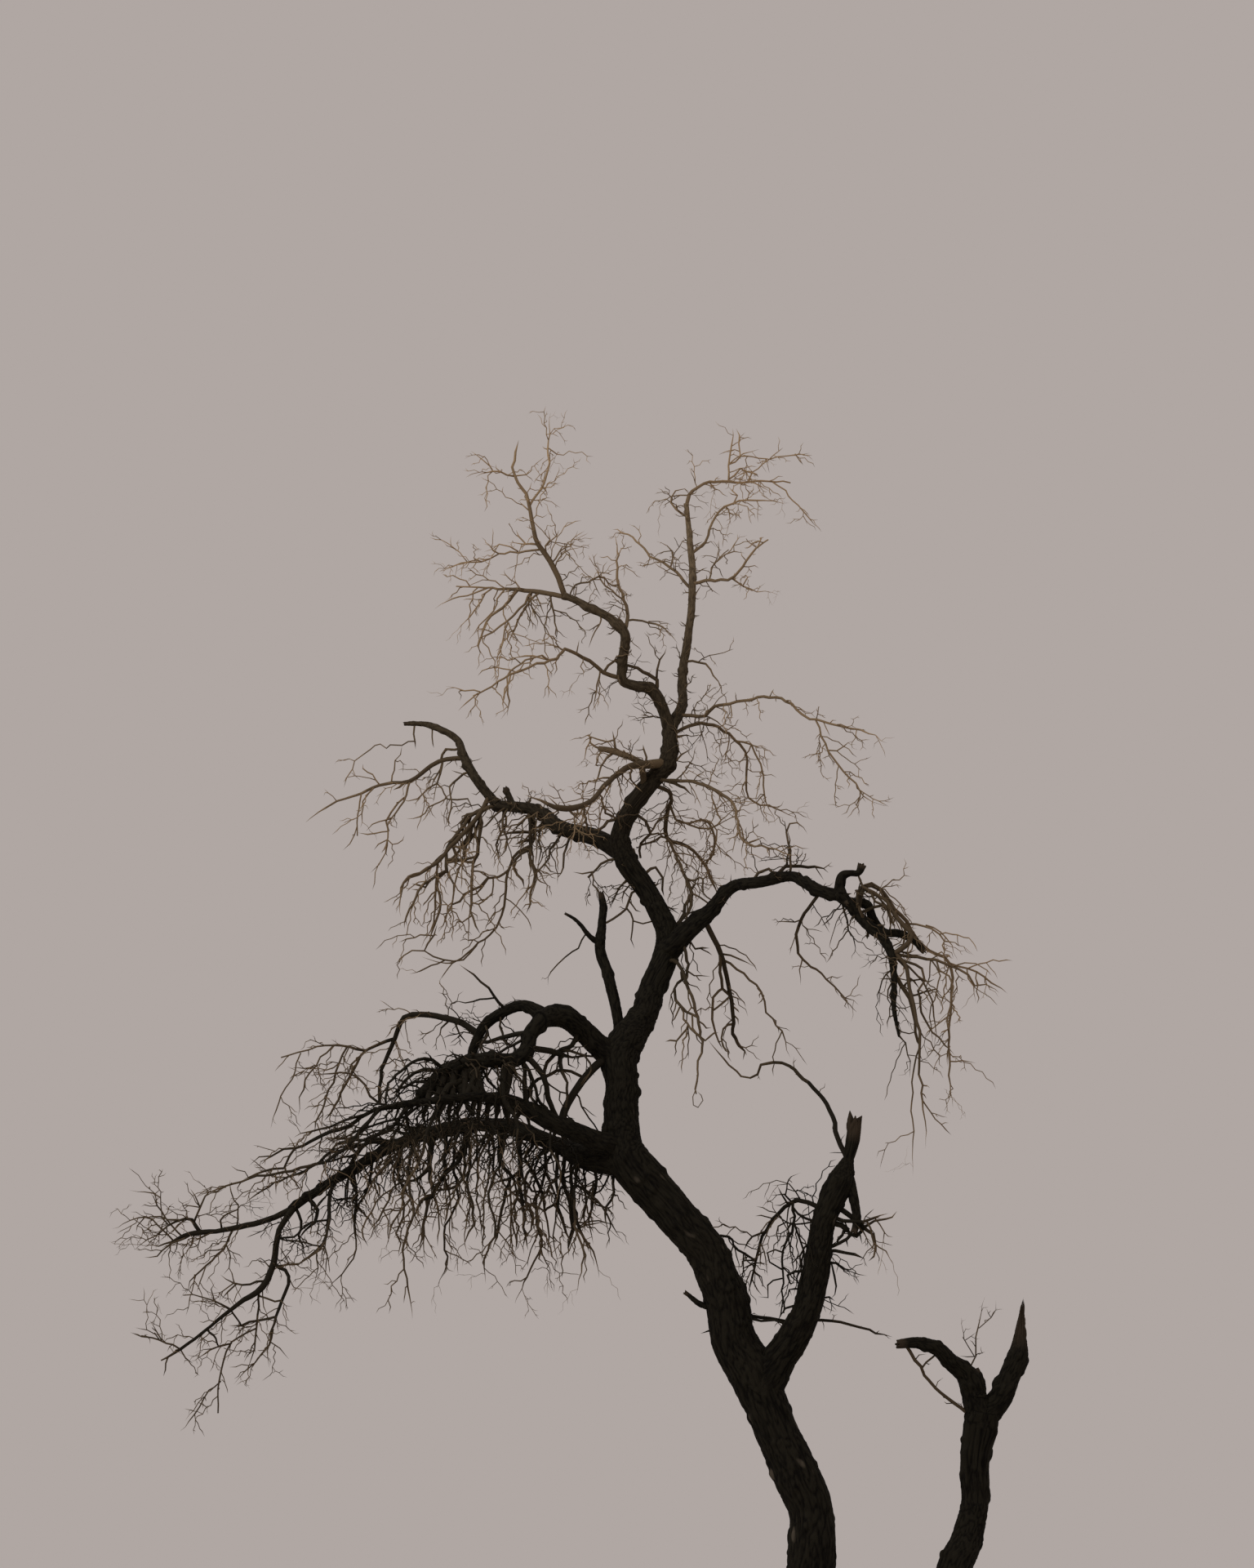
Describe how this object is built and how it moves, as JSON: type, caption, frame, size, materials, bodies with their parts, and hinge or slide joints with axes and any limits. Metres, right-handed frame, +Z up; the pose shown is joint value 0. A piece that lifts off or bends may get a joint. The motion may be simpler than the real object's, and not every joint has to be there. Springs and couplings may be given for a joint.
{
  "type": "bare winter tree",
  "caption": "Bare winter tree with a crooked leaning trunk, a torn side stem from the same foot, arching boughs, dead snags and masses of leafless hanging twigs.",
  "frame": {"origin": "centre of the trunk's flat cut at ground level", "axes": "+Z up along the height, +X to the right and -Y towards the viewer as the picture shows the tree"},
  "size_m": [4.9813, 2.3779, 7.6651],
  "materials": {
    "bark": "rough, furrowed, near black when damp",
    "twigs": "matt brown twig bark"
  },
  "bodies": {
    "root": {"arch_bough": "bark", "arch_branch": "bark", "arch_far_twigs": "twigs", "arch_inner_twigs": "twigs", "arch_top_twigs": "twigs", "bridging_twig": "twigs", "crown_left_twigs": "twigs", "crown_right_lower_twigs": "twigs", "crown_right_upper_twigs": "twigs", "curtain_1_twigs": "twigs", "curtain_2_twigs": "twigs", "curtain_3_twigs": "twigs", "curtain_4_twigs": "twigs", "curtain_5_twigs": "twigs", "curtain_6_twigs": "twigs", "dead_stub": "bark", "knotted_limb": "bark", "knotted_limb_end_twigs": "twigs", "knotted_limb_twigs": "twigs", "left_bough": "bark", "left_bough_tip": "bark", "left_far_twigs": "twigs", "left_hanging_inner_twigs": "twigs", "left_hanging_outer_twigs": "twigs", "left_top_stem": "bark", "low_bough": "bark", "low_down_twigs": "twigs", "low_left_twigs": "twigs", "right_arching_twigs": "twigs", "right_bough": "bark", "right_bough_tip": "bark", "right_hanging_twigs": "twigs", "right_inner_twigs": "twigs", "right_knob_twigs": "twigs", "right_low_1_twigs": "twigs", "right_low_2_twigs": "twigs", "right_top_stem": "bark", "second_stem": "bark", "second_stem_loop_twigs": "twigs", "second_stem_spike": "bark", "second_stem_torn_arm": "bark", "second_stem_upright_twigs": "twigs", "snag": "bark", "snag_arching_twig": "twigs", "snag_left_twigs": "twigs", "snag_right_twigs": "twigs", "top_left_leader_twigs": "twigs", "top_left_low_twigs": "twigs", "top_left_side_twigs": "twigs", "top_middle_twigs": "twigs", "top_right_inner_twigs": "twigs", "top_right_side_twigs": "twigs", "top_right_tip_twigs": "twigs", "trunk": "bark", "trunk_right_lower_twigs": "twigs", "trunk_right_upper_twigs": "twigs", "upper_low_bough": "bark", "upper_low_hanging_twigs": "twigs", "upper_low_tip_twigs": "twigs"}
  },
  "joints": []
}
